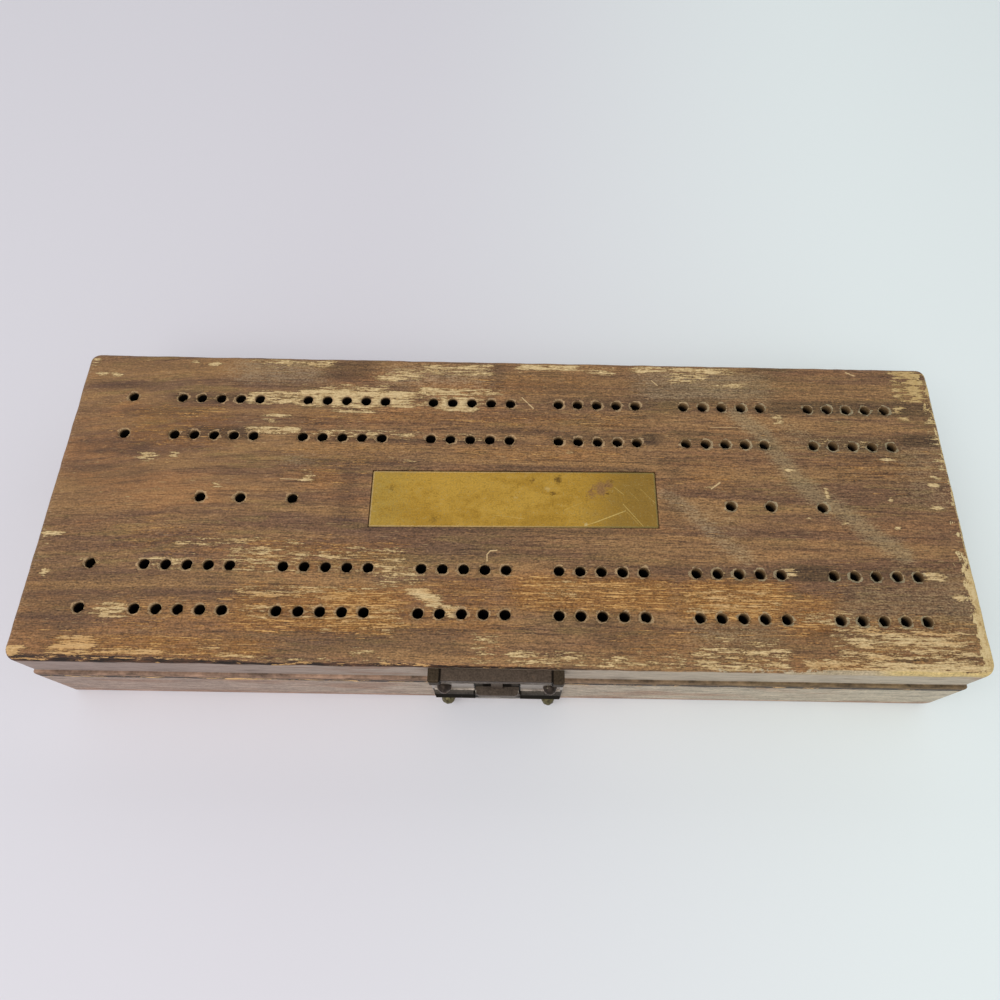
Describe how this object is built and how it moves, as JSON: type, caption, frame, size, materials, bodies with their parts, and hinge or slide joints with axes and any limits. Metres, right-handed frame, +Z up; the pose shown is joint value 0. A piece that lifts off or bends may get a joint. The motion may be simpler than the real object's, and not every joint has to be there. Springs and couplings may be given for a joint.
{
  "type": "cribbage box",
  "caption": "Wooden cribbage board box with peg holes along the top, a bare brass name plate, and a drawer that slides out of the long front under a slide-bolt latch.",
  "frame": {"origin": "under the middle of the peg hole pattern, on the surface that the box stands on", "axes": "+X along the long side, to the right when the drawer faces the player; -Y is the front, where the drawer slides out; +Z up"},
  "size_m": [0.2824, 0.1087, 0.0381],
  "materials": {
    "top_wood": "walnut-stained and varnished, worn through to pale wood along the edges and round the peg holes",
    "case_wood": "walnut-stained, dull varnish with a greyish sheen",
    "drawer_wood": "unstained pale softwood, aged, with light handling dirt",
    "panel_wood": "unstained thin panel wood, aged",
    "plate_brass": "aged brass, olive gold, mottled and scratched",
    "latch_metal": "dark bronze-grey plated sheet steel, dulled, worn bright at the edges",
    "pin_metal": "dulled brass-plated domes, browned",
    "brad_steel": "plain steel brads, dulled",
    "peg_brass": "turned brass, lightly tarnished",
    "peg_steel": "turned nickel-plated pegs, dulled"
  },
  "bodies": {
    "case": {"top_board": "top_wood", "name_plate": "plate_brass", "case_floor": "panel_wood", "case_side_left": "case_wood", "case_side_right": "case_wood", "case_back": "case_wood", "case_corner_brads": "brad_steel", "case_floor_brads": "brad_steel", "strike": "latch_metal", "strike_pins": "pin_metal"},
    "drawer": {"drawer_front": "case_wood", "drawer_side_left": "drawer_wood", "drawer_side_right": "drawer_wood", "drawer_back": "drawer_wood", "drawer_floor": "panel_wood", "drawer_divider_left": "drawer_wood", "drawer_divider_right": "drawer_wood", "drawer_corner_brads": "brad_steel", "drawer_floor_brads": "brad_steel", "latch_plate": "latch_metal", "latch_plate_pins": "pin_metal", "peg_1": "peg_brass", "peg_2": "peg_brass", "peg_3": "peg_steel", "peg_4": "peg_steel"},
    "latch_bolt": {"latch_bolt": "latch_metal"}
  },
  "joints": [
    {"name": "drawer_slide", "type": "slide", "parent": "case", "child": "drawer", "axis": [0, -1, 0], "range_m": [0, 0.07]},
    {"name": "latch_bolt_slide", "type": "slide", "parent": "drawer", "child": "latch_bolt", "axis": [0, 0, 1], "range_m": [0, 0.003]}
  ]
}
